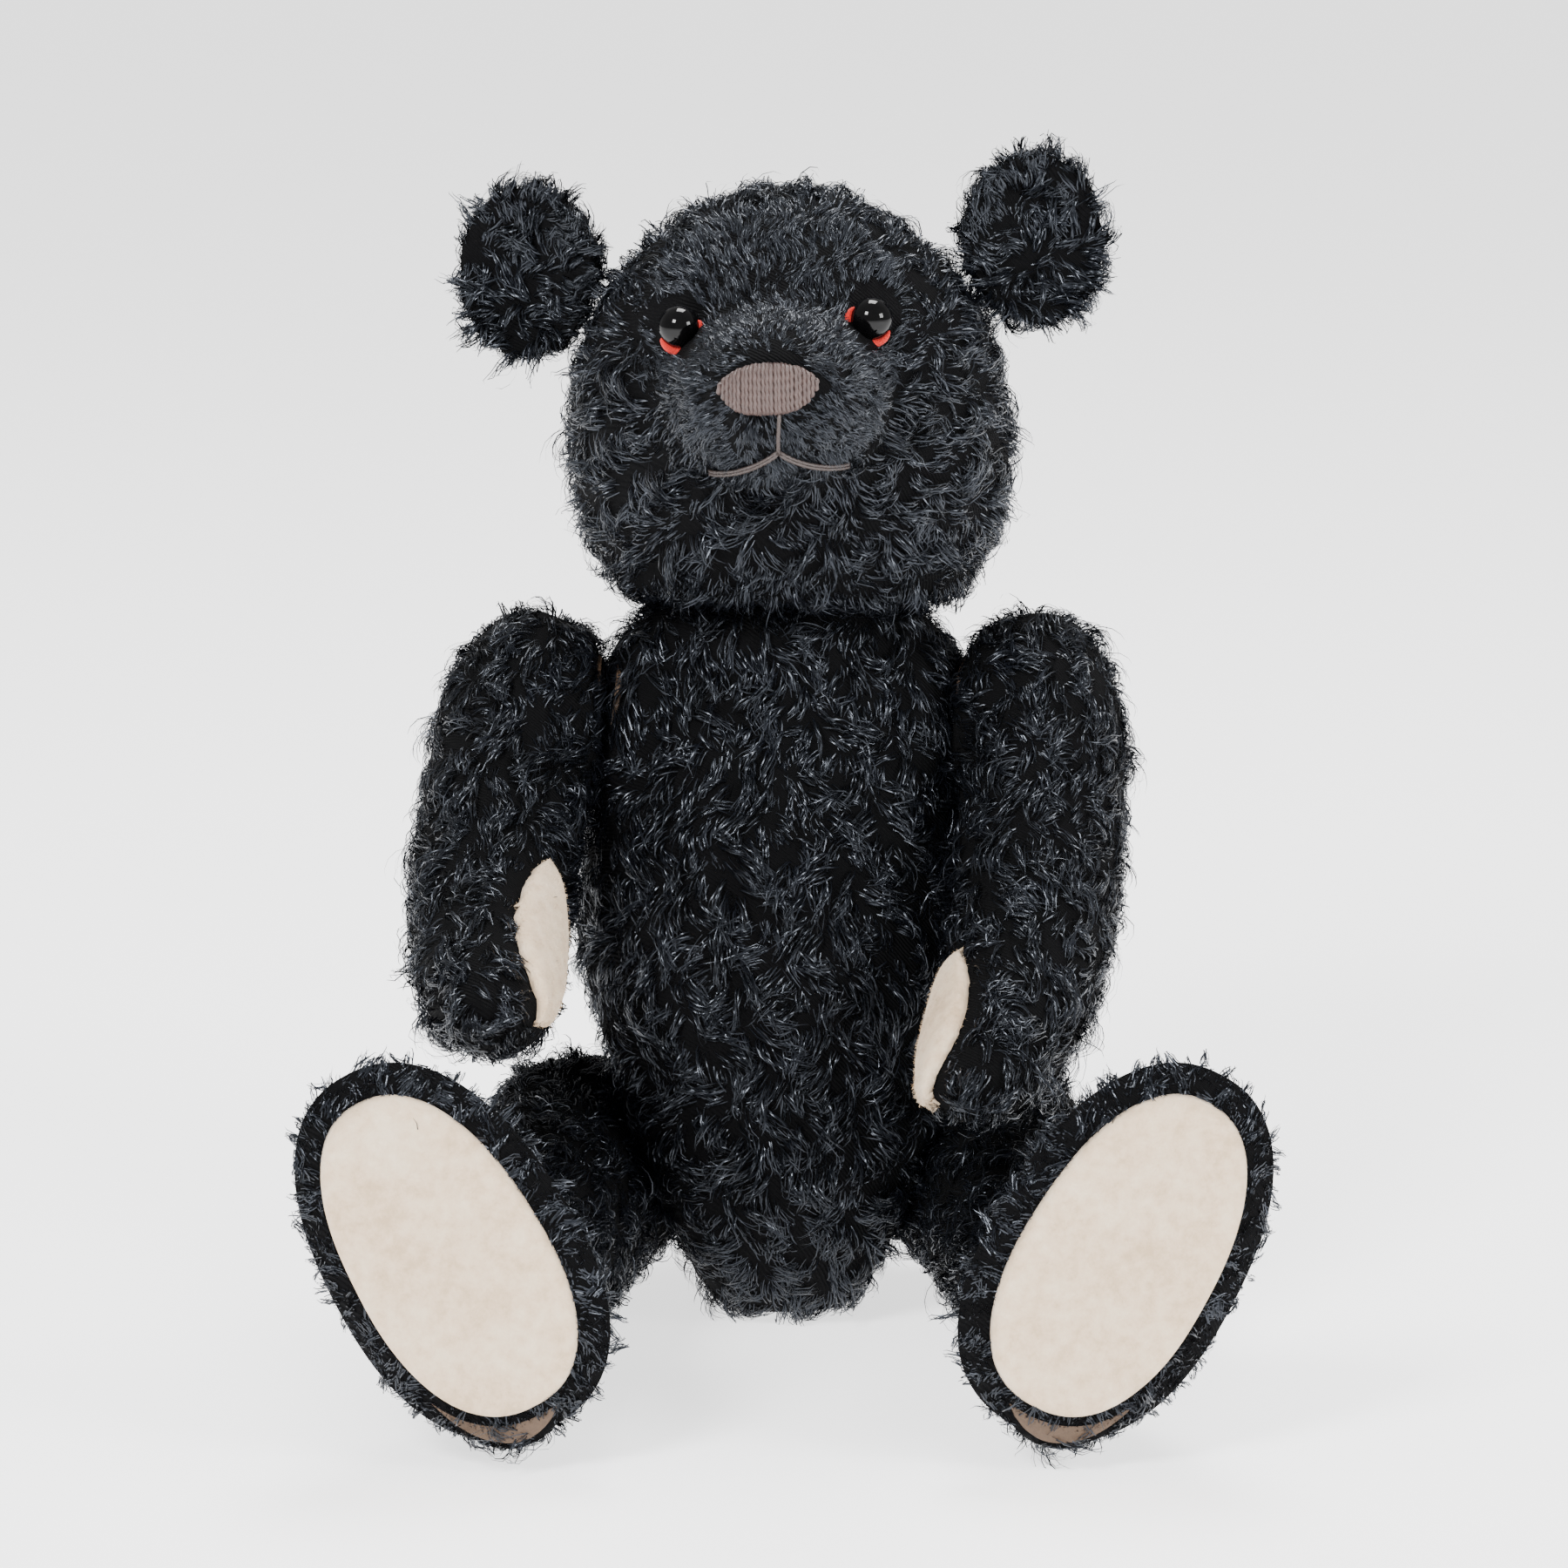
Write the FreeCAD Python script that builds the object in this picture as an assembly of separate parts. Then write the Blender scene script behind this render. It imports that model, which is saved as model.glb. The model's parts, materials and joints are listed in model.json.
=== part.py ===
"""Jointed mohair teddy bear in its sitting pose, as separate sewn, stuffed and pinned pieces.

Millimetres, +Z up, the bear faces -Y, and its own left is +X.  The origin is the middle of the
flat patch of the seat, which is the plane z = 0.  Each soft limb is a lofted closed form: its
outside is the middle of the pile, and the cover is what lies between that and the stuffing.
"""
import FreeCAD, Part
import os
from math import cos, degrees, pi, radians, sin

Vector = FreeCAD.Vector

# ---------------------------------------------------------------- driving dimensions
COVER = 5.0              # backing cloth and the dense half of the pile
PRESSED = 2.0            # the same cover where a joint disc squeezes it
FELT = 2.0               # wool felt of the paw and foot pads
SOLE_BOARD = 2.0         # stiff board behind the foot pad
JOINT_GAP = 0.35         # between the two covers that turn on each other
RUNNING_FIT = 0.05       # radial clearance of a pin in its hole

RECLINE = radians(8)     # the body leans back
NECK = Vector(0, 25, 189)
HEAD_TURN = radians(-2.5)         # about the neck, towards the bear's right
HEAD_ROLL = radians(-2.5)
HEAD_MIDDLE = 4.5        # the head was stuffed a little to the bear's left of its pin

SHOULDER = Vector(-49, 14, 160)   # right-hand joint centres; the left ones are mirrored
SHOULDER_TILT = radians(8)        # the joint's axis points up by this much
SHOULDER_TURN = {"right": radians(2), "left": radians(18)}
ARM_LIFT = {"right": radians(-28), "left": radians(-40)}   # above the horizontal

HIP = Vector(-34, 2, 43)
HIP_TILT = radians(-21)
HIP_TURN = radians(-6)
LEG_LIFT = radians(0.8)

DISC_RADIUS = {"neck": 26.0, "shoulder": 15.0, "hip": 19.0}
DISC = 3.0               # hardboard disc thickness
WASHER = 1.0
WASHER_RADIUS = 7.0
PIN_RADIUS = 1.6         # both legs of the split pin together
PIN_WIRE = 0.7           # radius of the wire that its ring and curls are bent from
CURL_RADIUS = 3.0        # each leg of the pin is curled back on itself
EYE_RADIUS = 5.6

# Profiles: (distance along, offset across, offset out, half size across, half size out)
TORSO = (
    (-6, 0, 0, 22, 26), (4, 0, -1, 34, 38), (16, 0, -2, 43, 45), (40, 0, -3, 53, 52),
    (72, 0, -3, 60, 55), (104, 0, -2, 62, 53), (134, 0, -1, 61, 48), (158, 0, 0, 56, 42),
    (176, 0, 0, 47, 37), (190, 0, 0, 39, 33), (200, 0, 0, 35, 31),
)
SKULL = (
    (-14, 0, 12, 38, 30), (0, 0, 10, 46, 39), (14, 0, 6, 54, 46), (30, 0, 2, 59, 50),
    (48, 0, -1, 60, 51), (66, 0, -3, 58, 50), (84, 0, -5, 51, 45), (98, 0, -6, 40, 36),
    (108, 0, -6, 27, 25), (114, 0, -6, 14, 13), (116, 0, -6, 5, 5),
)
MUZZLE = (
    (0, 0, 0, 38, 28), (20, 0, 0, 34, 26.5), (38, 0, 0, 28.5, 24), (51, 0, 1, 23, 20.5),
    (60, 0, 2, 18, 16), (66, 0, 3, 12, 10), (69, 0, 3, 5, 4),
)
ARM = (
    (-28, 0, 21, 6, 6), (-24, 0, 21, 16, 14), (-14, -1, 21, 24, 20), (0, -2, 22, 28, 24),
    (25, -7, 23, 29, 25), (55, -12, 24, 28, 25), (85, -11, 24, 25, 23.5), (108, -6, 23, 22, 21),
    (125, 0, 22, 18, 18), (136, 5, 21, 12, 12), (141, 7, 21, 5, 5),
)
LEG = (
    (-34, 0, 24, 6, 7), (-29, 0, 24, 19, 16), (-16, 0, 24, 30, 24), (0, 0, 24, 34, 27),
    (25, 0, 25, 33, 27), (55, -1, 25, 29, 26), (88, -2, 25, 25.5, 24), (110, 0, 25, 27, 25),
    (124, 8, 25, 37, 28), (138, 16, 26, 48, 30), (150, 19, 26, 53, 30), (159, 20, 26, 52, 29),
)
PAW_PAD = {"reach": 100, "half_length": 31, "half_width": 12.5}
PAW_PAD_AIM = {"right": radians(38), "left": radians(44)}   # from the inner side to the front


# ---------------------------------------------------------------- shapes
def oval(centre, across, out, half_across, half_out):
    """Closed smooth curve through an ellipse about the centre, always started on the same side."""
    count = 16
    points = []
    for step in range(count):
        angle = 2 * pi * step / count
        points.append(centre + across * (half_across * cos(angle)) + out * (half_out * sin(angle)))
    curve = Part.BSplineCurve()
    curve.interpolate(Points=points, PeriodicFlag=True)
    return Part.Wire(curve.toShape())


def lofted(profile, grow=0.0, open_end=False):
    """Solid along local X through the profile's ovals, each made larger by grow all round."""
    first = profile[0][0]
    last = profile[-1][0]
    stretch = 1 + (1 if open_end else 2) * grow / (last - first)
    start = first - grow
    wires = []
    for along, across, out, half_across, half_out in profile:
        place = Vector(start + (along - first) * stretch, across, out)
        sizes = [max(half_across + grow, 1.0), max(half_out + grow, 1.0)]
        wires.append(oval(place, Vector(0, 1, 0), Vector(0, 0, 1), *sizes))
    return Part.makeLoft(wires, True, False)


def frame(origin, along, out):
    """Placement whose local X is along and whose local Z is out."""
    across = out.cross(along)
    rows = [[along.x, across.x, out.x, origin.x], [along.y, across.y, out.y, origin.y],
            [along.z, across.z, out.z, origin.z], [0, 0, 0, 1]]
    return FreeCAD.Placement(FreeCAD.Matrix(*[value for row in rows for value in row]))


def placed(shape, placement, side="right"):
    """The shape moved to its placement, and mirrored to the bear's left if asked."""
    moved = shape.copy()
    moved.transformShape(placement.toMatrix(), True)
    if side == "left":
        moved = moved.mirror(Vector(0, 0, 0), Vector(1, 0, 0))
    return moved


def slab(low, high, reach=400):
    """Everything near the joint between two heights on its axis."""
    return Part.makeBox(2 * reach, 2 * reach, high - low, Vector(-reach, -reach, low))


def disc(radius, low, high, hole=0.0):
    """Round plate on the joint's axis, with a hole for the pin."""
    plate = Part.makeCylinder(radius, high - low, Vector(0, 0, low))
    if hole:
        plate = plate.cut(Part.makeCylinder(hole, high - low + 2, Vector(0, 0, low - 1)))
    return plate


def only_solid(shape):
    """The largest solid of a boolean result, without the compound around it."""
    return max(shape.Solids, key=lambda solid: solid.Volume)


# ---------------------------------------------------------------- disc joints
LIMB_DISC = JOINT_GAP + PRESSED               # heights on the joint's axis, limb side
LIMB_WASHER = LIMB_DISC + DISC
LIMB_TOP = LIMB_WASHER + WASHER
BODY_DISC = -PRESSED                          # and body side, going inwards
BODY_WASHER = BODY_DISC - DISC
BODY_END = BODY_WASHER - WASHER
CURL_LEVEL = BODY_END - 2.5
CURL_ROOM = PIN_RADIUS + 2 * CURL_RADIUS + 1.5
SHAFT_HOLE = PIN_RADIUS + RUNNING_FIT


def split_pin():
    """Split pin: a ring on the limb's washer, a round shaft, and two legs curled back."""
    ring_radius = 1.6 * PIN_RADIUS
    ring_middle = LIMB_TOP + ring_radius + PIN_WIRE
    shaft_end = CURL_LEVEL - 0.5
    pin = Part.makeCylinder(PIN_RADIUS, LIMB_TOP + 1 - shaft_end, Vector(0, 0, shaft_end))
    pin = pin.fuse(Part.makeTorus(ring_radius, PIN_WIRE, Vector(0, 0, ring_middle), Vector(0, 1, 0)))
    for way in (-1, 1):
        leg = Vector(way * PIN_RADIUS / 2, 0, CURL_LEVEL)
        start = Part.Face(Part.Wire(Part.makeCircle(PIN_WIRE, leg)))
        centre = leg + Vector(way * CURL_RADIUS, 0, 0)
        pin = pin.fuse(start.revolve(centre, Vector(0, -way, 0), 205))
    return only_solid(pin)


def limb_hardware(kind):
    """Disc, washer and pin that turn with the limb, in the joint's own frame."""
    return {
        "disc": disc(DISC_RADIUS[kind], LIMB_DISC, LIMB_WASHER, PIN_RADIUS),
        "washer": disc(WASHER_RADIUS, LIMB_WASHER, LIMB_TOP, PIN_RADIUS),
        "pin": split_pin(),
    }


def limb_pocket(kind):
    """Room in the limb's cover for its disc, its washer and the pin."""
    room = disc(DISC_RADIUS[kind], LIMB_DISC, LIMB_WASHER)
    room = room.fuse(disc(WASHER_RADIUS, LIMB_WASHER, LIMB_TOP))
    return room.fuse(disc(PIN_RADIUS, -1, LIMB_TOP + CURL_RADIUS))


def body_disc(kind):
    return disc(DISC_RADIUS[kind], BODY_WASHER, BODY_DISC, SHAFT_HOLE)


def body_washer():
    return disc(WASHER_RADIUS, BODY_END, BODY_WASHER, SHAFT_HOLE)


def body_pocket(kind):
    """Room in the body's stuffing for its disc, its washer and the turning pin's curls."""
    room = disc(DISC_RADIUS[kind], BODY_WASHER, BODY_DISC)
    room = room.fuse(disc(WASHER_RADIUS, BODY_END, BODY_WASHER))
    return room.fuse(disc(CURL_ROOM, CURL_LEVEL - CURL_RADIUS - 2.5, BODY_END))


def joint_frame(centre, tilt, turn, lift):
    """Right-hand joint: local Z leaves the body, local X runs along the limb at its lift."""
    out = Vector(-cos(tilt) * cos(turn), -cos(tilt) * sin(turn), sin(tilt))
    ahead = Vector(sin(turn), -cos(turn), 0)
    along = ahead * cos(lift) + out.cross(ahead) * sin(lift)
    return frame(centre, along, out)


NECK_AXIS = Vector(0, sin(RECLINE), cos(RECLINE))
JOINTS = [("neck", "right", frame(NECK, Vector(1, 0, 0), NECK_AXIS))]
for SIDE in ("right", "left"):
    TURN = SHOULDER_TURN[SIDE]
    JOINTS.append(("shoulder", SIDE, joint_frame(SHOULDER, SHOULDER_TILT, TURN, ARM_LIFT[SIDE])))
    JOINTS.append(("hip", SIDE, joint_frame(HIP, HIP_TILT, HIP_TURN, LEG_LIFT)))

nodes = {}


# ---------------------------------------------------------------- body
def beyond_joints(height):
    """The five spaces past the joints' faces, from the given height on each axis."""
    return [placed(slab(height, 400), spot, side) for kind, side, spot in JOINTS]


def make_body():
    """Two sewn panels round the stuffing, with a disc and washer at each joint."""
    upright = frame(Vector(0, 0, 0), NECK_AXIS, Vector(0, cos(RECLINE), -sin(RECLINE)))
    floor = Part.makeBox(800, 800, 200, Vector(-400, -400, -200))
    outside = placed(lofted(TORSO), upright).cut([floor] + beyond_joints(0))
    floor.translate(Vector(0, 0, COVER))
    inside = placed(lofted(TORSO, -COVER), upright).cut([floor] + beyond_joints(BODY_DISC))
    holes = [placed(disc(SHAFT_HOLE, BODY_DISC - 1, 1), spot, side) for kind, side, spot in JOINTS]
    pockets = [placed(body_pocket(kind), spot, side) for kind, side, spot in JOINTS]
    cover = outside.cut([inside] + holes + pockets)
    left_half = Part.makeBox(400, 800, 800, Vector(0, -400, -400))
    nodes["body_panel_left"] = only_solid(cover.common(left_half))
    nodes["body_panel_right"] = only_solid(cover.cut(left_half))
    nodes["body_stuffing"] = only_solid(inside.cut(pockets))
    washers = []
    for kind, side, spot in JOINTS:
        name = "neck_body_disc" if kind == "neck" else f"{kind}_body_disc_{side}"
        nodes[name] = placed(body_disc(kind), spot, side)
        washers.append(placed(body_washer(), spot, side))
    nodes["body_washers"] = Part.makeCompound(washers)


# ---------------------------------------------------------------- head
def head_form(grow, upright, forward):
    """Skull and muzzle as one form."""
    skull = placed(lofted(SKULL, grow), upright)
    return skull.fuse(placed(lofted(MUZZLE, grow), forward))


def surface_point(form, x, z):
    """Point and outward normal where a line from the front first meets the form."""
    hits = []
    for dx, dz in ((0, 0), (1, 0), (0, 1)):
        line = Part.makeLine(Vector(x + dx, -150, z + dz), Vector(x + dx, 20, z + dz))
        inner = form.common(line)
        hits.append(min((vertex.Point for vertex in inner.Vertexes), key=lambda point: point.y))
    normal = (hits[1] - hits[0]).cross(hits[2] - hits[0]).normalize()
    if normal.y > 0:
        normal = normal * -1
    return hits[0], normal


def make_ear(side, form):
    """Two cupped panels, sewn face to face round the rim and along the head."""
    way = -1 if side == "right" else 1
    middle = Vector(HEAD_MIDDLE + way * 66, 16, 284 + way * 1.5)
    facing = Vector(way * 0.28, -0.95, 0.12).normalize()
    cup_centre = middle + facing * 40
    rim_up = (Vector(0, 0, 1) - facing * facing.z).normalize()
    rim = oval(cup_centre, facing.cross(rim_up), rim_up, 20.5, 24)
    trim = Part.Face(rim).extrude(facing * -60)
    radii = {"back": (46.5, 41), "front": (41, 36)}
    for name, (outer, inner) in radii.items():
        shell = Part.makeSphere(outer, cup_centre).cut(Part.makeSphere(inner, cup_centre))
        nodes[f"ear_{name}_{side}"] = only_solid(shell.common(trim).cut(form))


def make_eye(side, form, felt_form):
    """Glass eye on a wire shank through the head, over a red felt crescent."""
    way = -1 if side == "right" else 1
    seat, normal = surface_point(form, HEAD_MIDDLE + way * 24.5, 273)
    middle = seat + normal * 1.2
    glass = Part.makeSphere(EYE_RADIUS, middle).cut(form)
    low = (Vector(-way * 0.35, 0, -1) + normal * normal.z).normalize()
    start = seat - normal * 6
    crescent = Part.makeCylinder(EYE_RADIUS + 1.9, 14, start + low * 1.3, normal)
    crescent = crescent.common(felt_form).cut(form)
    crescent = crescent.cut(Part.makeCylinder(EYE_RADIUS + 0.05, 16, start - normal, normal))
    shank = Part.makeCylinder(0.7, 18, middle - normal * 18, normal)
    loop = Part.makeTorus(2.0, 0.85, middle - normal * 19.8, normal.cross(Vector(0, 0, 1)))
    shank = shank.fuse(loop)
    nodes[f"eye_glass_{side}"] = only_solid(glass.cut(shank))
    nodes[f"eye_felt_{side}"] = only_solid(crescent)
    nodes[f"eye_shank_{side}"] = only_solid(shank.removeSplitter())


def make_nose(muzzle):
    """Pad of satin stitches over the tip of the muzzle: an oval cap of a sphere."""
    inward = Vector(0, cos(radians(28)), -sin(radians(28)))
    up = Vector(0, sin(radians(28)), cos(radians(28)))
    middle = Vector(HEAD_MIDDLE, -72, 263) - inward * 15
    outline = Part.Ellipse(middle + Vector(13, 0, 0), middle + up * 7.5, middle)
    prism = Part.Face(Part.Wire(outline.toShape())).extrude(inward * 22)
    ball = Part.makeSphere(22, Vector(HEAD_MIDDLE, -55, 260.6))
    nodes["nose_stitching"] = only_solid(ball.cut(muzzle).common(prism))


def make_mouth(form):
    """Straight stitches laid on the cloth: down from the nose, then out to both corners."""
    thread = 0.6
    lift = 1.2
    lip = (0, 250)
    strokes = [[(0, 256), (0, 253), lip]]
    for way in (-1, 1):
        strokes.append([lip, (way * 6, 246), (way * 12, 242.5), (way * 17, 241)])
    stitches = []
    for stroke in strokes:
        hits = [surface_point(form, HEAD_MIDDLE + x, z) for x, z in stroke]
        points = [point + normal * lift for point, normal in hits]
        for start, end in zip(points, points[1:]):
            step = end - start
            run = Part.makeCylinder(thread, step.Length - thread, start + step * (thread / step.Length), step)
            stitches.append(run)
    nodes["mouth_stitching"] = Part.makeCompound(stitches)


def about_neck(axis, angle):
    """Placement that turns the head about an axis through the neck's pin."""
    return FreeCAD.Placement(Vector(0, 0, 0), FreeCAD.Rotation(axis, degrees(angle)), NECK)


def make_head():
    """Two side panels and a top gusset round the stuffing, with the face and ears."""
    upright = frame(Vector(HEAD_MIDDLE, 12, 189), Vector(0, 0, 1), Vector(0, 1, 0))
    forward = frame(Vector(HEAD_MIDDLE, -8, 250), Vector(0, -cos(radians(9)), sin(radians(9))),
                    Vector(0, sin(radians(9)), cos(radians(9))))
    form = head_form(0, upright, forward)
    felt_form = head_form(1.3, upright, forward)
    inside = head_form(-COVER, upright, forward)
    for side in ("right", "left"):
        make_ear(side, form)
        make_eye(side, form, felt_form)
    make_nose(placed(lofted(MUZZLE), forward))
    make_mouth(form)
    gusset = Part.makeBox(34, 260, 200, Vector(HEAD_MIDDLE - 17, -130, 252))
    gusset.rotate(Vector(0, -84, 252), Vector(1, 0, 0), -9)
    pose = about_neck(NECK_AXIS, HEAD_TURN) * about_neck(Vector(0, 1, 0), HEAD_ROLL)
    for name in [name for name in nodes if name.split("_")[0] in ("ear", "eye", "nose", "mouth")]:
        nodes[name] = placed(nodes[name], pose)
    form, inside, gusset = [placed(shape, pose) for shape in (form, inside, gusset)]
    right_half = placed(Part.makeBox(400, 800, 800, Vector(HEAD_MIDDLE - 400, -400, -100)), pose)
    spot = JOINTS[0][2]
    form = form.cut(placed(slab(-300, JOINT_GAP), spot))
    inside = inside.cut(placed(slab(-300, LIMB_DISC), spot))
    shanks = [nodes["eye_shank_right"], nodes["eye_shank_left"]]
    cover = form.cut([inside, placed(disc(PIN_RADIUS, -1, LIMB_DISC + 1), spot)] + shanks)
    sides = cover.cut(gusset)
    nodes["head_gusset"] = only_solid(cover.common(gusset))
    nodes["head_side_right"] = only_solid(sides.common(right_half))
    nodes["head_side_left"] = only_solid(sides.cut(right_half))
    hardware = {name: placed(shape, spot) for name, shape in limb_hardware("neck").items()}
    nodes["head_stuffing"] = only_solid(inside.cut(list(hardware.values()) + shanks))
    for name, shape in hardware.items():
        nodes[f"neck_head_{name}"] = shape


# ---------------------------------------------------------------- limbs
def limb_forms(profile, open_end):
    """Outside and stuffed inside of a limb, both flat where the limb meets the body."""
    outside = lofted(profile).cut(slab(-100, JOINT_GAP))
    inside = lofted(profile, -COVER, open_end).cut(slab(-100, LIMB_DISC))
    return outside, inside


def almond(half_length, half_width):
    """Face between two equal arcs that meet in points, centred at the origin."""
    points = [Vector(-half_length, 0, 0), Vector(half_length, 0, 0)]
    arcs = [Part.Arc(points[0], Vector(0, way * half_width, 0), points[1]) for way in (1, -1)]
    return Part.Face(Part.Wire([arc.toShape() for arc in arcs]))


def paw_prism(aim):
    """Column through the palm, along which the paw pad is cut from the cover."""
    column = almond(PAW_PAD["half_length"], PAW_PAD["half_width"]).extrude(Vector(0, 0, 60))
    column.rotate(Vector(0, 0, 0), Vector(1, 0, 0), 180 + degrees(aim))
    column.translate(Vector(PAW_PAD["reach"], -4, 22))
    return column


def make_arm(side, spot):
    """Outer panel, inner panel with its felt paw pad, stuffing and joint hardware."""
    outside, inside = limb_forms(ARM, False)
    prism = paw_prism(PAW_PAD_AIM[side])
    cover = outside.cut([inside, limb_pocket("shoulder")])
    pad = lofted(ARM, FELT - COVER).cut(inside).common(prism)
    seam_height = ARM[4][2]
    inner_side = slab(-100, seam_height)
    pieces = {
        "pad": only_solid(pad),
        "inner": only_solid(cover.common(inner_side).cut(prism)),
        "outer": only_solid(cover.cut(inner_side).cut(prism)),
    }
    hardware = limb_hardware("shoulder")
    pieces["stuffing"] = only_solid(inside.cut(list(hardware.values())))
    names = {"pad": "paw_pad", "inner": "arm_inner_panel", "outer": "arm_outer_panel",
             "stuffing": "arm_stuffing"}
    for key, shape in pieces.items():
        nodes[f"{names[key]}_{side}"] = placed(shape, spot, side)
    for key, shape in hardware.items():
        nodes[f"shoulder_arm_{key}_{side}"] = placed(shape, spot, side)


def make_leg(side, spot):
    """Outer and inner panels, felt foot pad on a stiff board, stuffing and joint hardware."""
    outside, inside = limb_forms(LEG, True)
    sole = LEG[-1][0]
    pad_back = sole - FELT
    board_back = pad_back - SOLE_BOARD
    ahead_of = {level: Part.makeBox(100, 400, 400, Vector(level, -200, -200))
                for level in (pad_back, board_back)}
    pad = inside.common(ahead_of[pad_back])
    board = inside.common(ahead_of[board_back]).cut(ahead_of[pad_back])
    cover = outside.cut([inside, limb_pocket("hip")])
    inner_side = slab(-100, LEG[4][2])
    hardware = limb_hardware("hip")
    stuffing = inside.cut([ahead_of[board_back]] + list(hardware.values()))
    pieces = {
        "foot_pad": pad, "foot_board": board, "leg_stuffing": stuffing,
        "leg_inner_panel": cover.common(inner_side), "leg_outer_panel": cover.cut(inner_side),
    }
    for name, shape in pieces.items():
        nodes[f"{name}_{side}"] = placed(only_solid(shape), spot, side)
    for key, shape in hardware.items():
        nodes[f"hip_leg_{key}_{side}"] = placed(shape, spot, side)


# ---------------------------------------------------------------- build
make_body()
make_head()
for KIND, SIDE, SPOT in JOINTS:
    if KIND == "shoulder":
        make_arm(SIDE, SPOT)
    elif KIND == "hip":
        make_leg(SIDE, SPOT)

os.makedirs("parts", exist_ok=True)
for NAME, SHAPE in nodes.items():
    SHAPE.exportStep(f"parts/{NAME}.step")
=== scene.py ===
"""Jointed teddy bear in curly black mohair, with felt pads, glass eyes and a stitched nose and mouth."""

import json
from math import cos, pi, radians, sin

import bmesh
import bpy
import numpy as np
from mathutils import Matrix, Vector
from mathutils.bvhtree import BVHTree


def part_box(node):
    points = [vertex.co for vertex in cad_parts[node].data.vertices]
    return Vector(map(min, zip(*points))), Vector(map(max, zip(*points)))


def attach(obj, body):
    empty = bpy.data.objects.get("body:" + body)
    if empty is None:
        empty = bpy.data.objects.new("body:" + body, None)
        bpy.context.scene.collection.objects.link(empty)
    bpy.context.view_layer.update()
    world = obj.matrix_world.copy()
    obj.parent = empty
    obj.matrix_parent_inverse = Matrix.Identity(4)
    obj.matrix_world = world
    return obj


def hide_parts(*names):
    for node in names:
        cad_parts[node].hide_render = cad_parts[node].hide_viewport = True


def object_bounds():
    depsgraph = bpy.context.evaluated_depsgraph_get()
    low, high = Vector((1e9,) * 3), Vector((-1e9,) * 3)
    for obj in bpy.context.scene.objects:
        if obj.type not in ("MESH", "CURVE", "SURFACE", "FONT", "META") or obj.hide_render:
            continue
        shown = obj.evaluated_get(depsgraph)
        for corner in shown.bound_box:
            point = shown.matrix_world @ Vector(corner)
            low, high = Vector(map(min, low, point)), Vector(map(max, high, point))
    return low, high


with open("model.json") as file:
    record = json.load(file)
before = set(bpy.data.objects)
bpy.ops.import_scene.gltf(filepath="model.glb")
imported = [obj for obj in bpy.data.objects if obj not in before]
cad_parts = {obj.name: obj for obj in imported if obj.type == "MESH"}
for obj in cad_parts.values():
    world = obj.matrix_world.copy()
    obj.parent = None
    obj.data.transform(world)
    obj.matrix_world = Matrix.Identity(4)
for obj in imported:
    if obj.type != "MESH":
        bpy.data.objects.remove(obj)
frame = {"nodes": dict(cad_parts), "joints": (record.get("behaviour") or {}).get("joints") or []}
cad_low, cad_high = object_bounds()


# ---------------------------------------------------------------- camera, floor and studio light
# The bear sits on a plain white sweep between two soft lights, seen from a little above.
CAMERA_REACH = 1.7
CAMERA_RISE = radians(13)
LENS = 145

target = Vector((0, 0, 0.455 * cad_high.z))
camera = bpy.data.objects.new("camera", bpy.data.cameras.new("camera"))
camera.data.lens = LENS
camera.data.sensor_width = 36
camera.location = target + CAMERA_REACH * Vector((0, -cos(CAMERA_RISE), sin(CAMERA_RISE)))
camera.rotation_euler = (target - camera.location).to_track_quat("-Z", "Y").to_euler()
bpy.context.scene.collection.objects.link(camera)
bpy.context.scene.camera = camera


def studio_light(name, place, size, power):
    """A square area light at a place, aimed at the middle of the bear."""
    light = bpy.data.lights.new(name, "AREA")
    light.size = size
    light.energy = power
    lamp = bpy.data.objects.new(name, light)
    lamp.location = place
    lamp.rotation_euler = (target - Vector(place)).to_track_quat("-Z", "Y").to_euler()
    bpy.context.scene.collection.objects.link(lamp)


studio_light("key_light", (-0.75, -1.15, 1.25), 0.45, 38)
studio_light("fill_light", (1.15, -0.8, 0.75), 0.5, 20)
studio_light("top_light", (0.1, 0.45, 1.5), 0.6, 26)

world = bpy.data.worlds.new("studio")
world.use_nodes = True
world.node_tree.nodes["Background"].inputs["Color"].default_value = (1, 1, 1, 1)
world.node_tree.nodes["Background"].inputs["Strength"].default_value = 0.45
bpy.context.scene.world = world


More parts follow.
